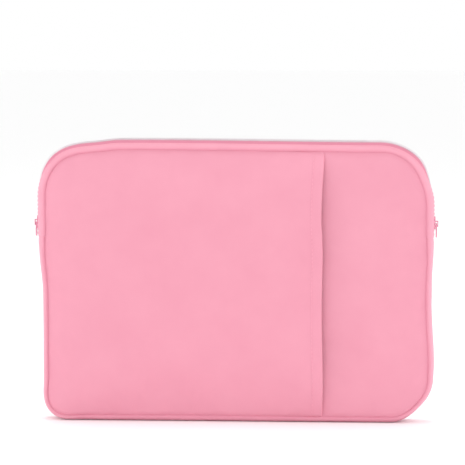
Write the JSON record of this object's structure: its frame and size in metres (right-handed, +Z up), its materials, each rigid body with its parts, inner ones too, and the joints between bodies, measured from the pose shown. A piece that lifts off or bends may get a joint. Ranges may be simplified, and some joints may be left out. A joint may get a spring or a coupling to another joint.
{
  "type": "laptop sleeve",
  "caption": "Padded fabric laptop sleeve standing upright, its wrap-round zip open at the top, with a side-opening front pocket and zip sliders on both sides.",
  "frame": {"origin": "on the resting face under the sleeve, below the middle of its width and of its two panels' depth", "axes": "+X along the width, towards the side that the pocket opens to; the pocket's front faces -Y; +Z up towards the zip's mouth"},
  "size_m": [0.3476, 0.0314, 0.2423],
  "materials": {
    "pink_fabric": "matte",
    "foam": "matte",
    "plush": "matte",
    "zip_tape": "matte",
    "coil": "semi-gloss",
    "zip_metal": "gloss",
    "thread": "matte"
  },
  "bodies": {
    "sleeve": {"front_panel": "pink_fabric", "front_foam": "foam", "front_lining": "plush", "front_zip_band": "pink_fabric", "front_zip_tape": "zip_tape", "front_teeth": "coil", "pocket_panel": "pink_fabric", "pocket_lining": "plush", "pocket_hem": "pink_fabric", "back_panel": "pink_fabric", "back_foam": "foam", "back_lining": "plush", "back_zip_band": "pink_fabric", "back_zip_tape": "zip_tape", "back_teeth": "coil", "lower_gusset": "pink_fabric", "gusset_foam": "foam", "gusset_lining": "plush", "left_end_stop": "zip_metal", "right_end_stop": "zip_metal"},
    "front_lip": {"front_panel_lip": "pink_fabric", "front_foam_lip": "foam", "front_lining_lip": "plush", "front_zip_band_lip": "pink_fabric", "front_zip_tape_lip": "zip_tape", "front_teeth_lip": "coil", "pocket_panel_lip": "pink_fabric", "pocket_lining_lip": "plush", "pocket_hem_lip": "pink_fabric"},
    "left_slider": {"left_slider": "zip_metal"},
    "right_slider": {"right_slider": "zip_metal"},
    "left_pull": {"left_pull": "zip_metal"},
    "right_pull": {"right_pull": "zip_metal"}
  },
  "joints": [
    {"name": "front_lip_fold", "type": "hinge", "parent": "sleeve", "child": "front_lip", "pos_m": [0, -0.0188, 0.192], "axis": [1, 0, 0], "range_deg": [0, 25], "stiffness_Nm_per_rad": 0.3},
    {"name": "left_slider_travel", "type": "slide", "parent": "sleeve", "child": "left_slider", "axis": [0, 0, 1], "range_m": [0, 0.013]},
    {"name": "right_slider_travel", "type": "slide", "parent": "sleeve", "child": "right_slider", "axis": [0, 0, 1], "range_m": [0, 0.013]},
    {"name": "left_pull_swing", "type": "hinge", "parent": "left_slider", "child": "left_pull", "pos_m": [-0.17215, 0, 0.17125], "axis": [0, 1, 0], "range_deg": [0, 170]},
    {"name": "right_pull_swing", "type": "hinge", "parent": "right_slider", "child": "right_pull", "pos_m": [0.17215, 0, 0.17125], "axis": [0, -1, 0], "range_deg": [0, 170]}
  ]
}
